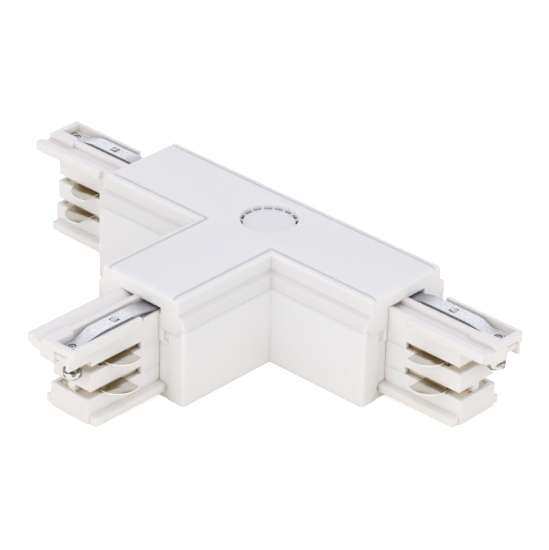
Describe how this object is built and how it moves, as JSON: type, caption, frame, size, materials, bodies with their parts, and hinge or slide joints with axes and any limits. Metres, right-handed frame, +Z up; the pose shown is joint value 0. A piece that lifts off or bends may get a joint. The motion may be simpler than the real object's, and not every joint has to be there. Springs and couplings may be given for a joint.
{
  "type": "track light t-connector",
  "caption": "T-shaped connector for three-circuit lighting track, with a two-piece housing and a sprung-contact plug on each arm.",
  "frame": {"origin": "on the flat underside, where the middle lines of the three arms meet", "axes": "+X along the bar of the T, towards the right plug; -Y along the branch; +Z up, out of the face with the knock-out"},
  "size_m": [0.172, 0.1029, 0.0327],
  "materials": {
    "housing_white": "satin moulded white",
    "carrier_white": "satin moulded white",
    "core_beige": "plain beige insulator",
    "zinc": "bright zinc with a fine speckle",
    "screw_nickel": "bright nickel",
    "contact_nickel": "nickel-washed brass",
    "bus_copper": "plain copper"
  },
  "bodies": {
    "housing": {"base_housing": "housing_white", "top_cover": "housing_white", "cover_screws": "screw_nickel", "upper_wing_bus": "bus_copper", "upper_plain_bus": "bus_copper", "lower_wing_bus": "bus_copper", "lower_plain_bus": "bus_copper", "earth_bus": "bus_copper", "left_lower_carrier": "carrier_white", "left_middle_carrier": "carrier_white", "left_upper_carrier": "carrier_white", "left_core": "core_beige", "right_lower_carrier": "carrier_white", "right_middle_carrier": "carrier_white", "right_upper_carrier": "carrier_white", "right_core": "core_beige", "branch_lower_carrier": "carrier_white", "branch_middle_carrier": "carrier_white", "branch_upper_carrier": "carrier_white", "branch_core": "core_beige"},
    "left_earth_leaf": {"left_earth_leaf": "zinc"},
    "left_clamp_screw": {"left_clamp_screw": "screw_nickel"},
    "left_upper_wing_contact": {"left_upper_wing_contact": "contact_nickel"},
    "left_upper_plain_contact": {"left_upper_plain_contact": "contact_nickel"},
    "left_lower_wing_contact": {"left_lower_wing_contact": "contact_nickel"},
    "left_lower_plain_contact": {"left_lower_plain_contact": "contact_nickel"},
    "right_earth_leaf": {"right_earth_leaf": "zinc"},
    "right_clamp_screw": {"right_clamp_screw": "screw_nickel"},
    "right_upper_wing_contact": {"right_upper_wing_contact": "contact_nickel"},
    "right_upper_plain_contact": {"right_upper_plain_contact": "contact_nickel"},
    "right_lower_wing_contact": {"right_lower_wing_contact": "contact_nickel"},
    "right_lower_plain_contact": {"right_lower_plain_contact": "contact_nickel"},
    "branch_earth_leaf": {"branch_earth_leaf": "zinc"},
    "branch_clamp_screw": {"branch_clamp_screw": "screw_nickel"},
    "branch_upper_wing_contact": {"branch_upper_wing_contact": "contact_nickel"},
    "branch_upper_plain_contact": {"branch_upper_plain_contact": "contact_nickel"},
    "branch_lower_wing_contact": {"branch_lower_wing_contact": "contact_nickel"},
    "branch_lower_plain_contact": {"branch_lower_plain_contact": "contact_nickel"}
  },
  "joints": [
    {"name": "left_earth_leaf_flex", "type": "hinge", "parent": "housing", "child": "left_earth_leaf", "pos_m": [-0.049, 0.00385, 0.0271], "axis": [0, -1, 0], "range_deg": [0, 2.5], "stiffness_Nm_per_rad": 1.2},
    {"name": "left_clamp_screw_travel", "type": "slide", "parent": "housing", "child": "left_clamp_screw", "axis": [0, 0, 1], "range_m": [0, 0.0024]},
    {"name": "left_upper_wing_contact_spring", "type": "hinge", "parent": "housing", "child": "left_upper_wing_contact", "pos_m": [-0.057, -0.00485, 0.018], "axis": [0, 0, -1], "range_deg": [0, 8], "stiffness_Nm_per_rad": 0.4},
    {"name": "left_upper_plain_contact_spring", "type": "hinge", "parent": "housing", "child": "left_upper_plain_contact", "pos_m": [-0.057, 0.00485, 0.018], "axis": [0, 0, 1], "range_deg": [0, 8], "stiffness_Nm_per_rad": 0.4},
    {"name": "left_lower_wing_contact_spring", "type": "hinge", "parent": "housing", "child": "left_lower_wing_contact", "pos_m": [-0.057, -0.00485, 0.0103], "axis": [0, 0, -1], "range_deg": [0, 8], "stiffness_Nm_per_rad": 0.4},
    {"name": "left_lower_plain_contact_spring", "type": "hinge", "parent": "housing", "child": "left_lower_plain_contact", "pos_m": [-0.057, 0.00485, 0.0103], "axis": [0, 0, 1], "range_deg": [0, 8], "stiffness_Nm_per_rad": 0.4},
    {"name": "right_earth_leaf_flex", "type": "hinge", "parent": "housing", "child": "right_earth_leaf", "pos_m": [0.049, 0.00385, 0.0271], "axis": [0, 1, 0], "range_deg": [0, 2.5], "stiffness_Nm_per_rad": 1.2},
    {"name": "right_clamp_screw_travel", "type": "slide", "parent": "housing", "child": "right_clamp_screw", "axis": [0, 0, 1], "range_m": [0, 0.0024]},
    {"name": "right_upper_wing_contact_spring", "type": "hinge", "parent": "housing", "child": "right_upper_wing_contact", "pos_m": [0.057, -0.00485, 0.018], "axis": [0, 0, 1], "range_deg": [0, 8], "stiffness_Nm_per_rad": 0.4},
    {"name": "right_upper_plain_contact_spring", "type": "hinge", "parent": "housing", "child": "right_upper_plain_contact", "pos_m": [0.057, 0.00485, 0.018], "axis": [0, 0, -1], "range_deg": [0, 8], "stiffness_Nm_per_rad": 0.4},
    {"name": "right_lower_wing_contact_spring", "type": "hinge", "parent": "housing", "child": "right_lower_wing_contact", "pos_m": [0.057, -0.00485, 0.0103], "axis": [0, 0, 1], "range_deg": [0, 8], "stiffness_Nm_per_rad": 0.4},
    {"name": "right_lower_plain_contact_spring", "type": "hinge", "parent": "housing", "child": "right_lower_plain_contact", "pos_m": [0.057, 0.00485, 0.0103], "axis": [0, 0, -1], "range_deg": [0, 8], "stiffness_Nm_per_rad": 0.4},
    {"name": "branch_earth_leaf_flex", "type": "hinge", "parent": "housing", "child": "branch_earth_leaf", "pos_m": [0.00385, -0.049, 0.0271], "axis": [1, 0, 0], "range_deg": [0, 2.5], "stiffness_Nm_per_rad": 1.2},
    {"name": "branch_clamp_screw_travel", "type": "slide", "parent": "housing", "child": "branch_clamp_screw", "axis": [0, 0, 1], "range_m": [0, 0.0024]},
    {"name": "branch_upper_wing_contact_spring", "type": "hinge", "parent": "housing", "child": "branch_upper_wing_contact", "pos_m": [-0.00485, -0.057, 0.018], "axis": [0, 0, 1], "range_deg": [0, 8], "stiffness_Nm_per_rad": 0.4},
    {"name": "branch_upper_plain_contact_spring", "type": "hinge", "parent": "housing", "child": "branch_upper_plain_contact", "pos_m": [0.00485, -0.057, 0.018], "axis": [0, 0, -1], "range_deg": [0, 8], "stiffness_Nm_per_rad": 0.4},
    {"name": "branch_lower_wing_contact_spring", "type": "hinge", "parent": "housing", "child": "branch_lower_wing_contact", "pos_m": [-0.00485, -0.057, 0.0103], "axis": [0, 0, 1], "range_deg": [0, 8], "stiffness_Nm_per_rad": 0.4},
    {"name": "branch_lower_plain_contact_spring", "type": "hinge", "parent": "housing", "child": "branch_lower_plain_contact", "pos_m": [0.00485, -0.057, 0.0103], "axis": [0, 0, -1], "range_deg": [0, 8], "stiffness_Nm_per_rad": 0.4}
  ]
}
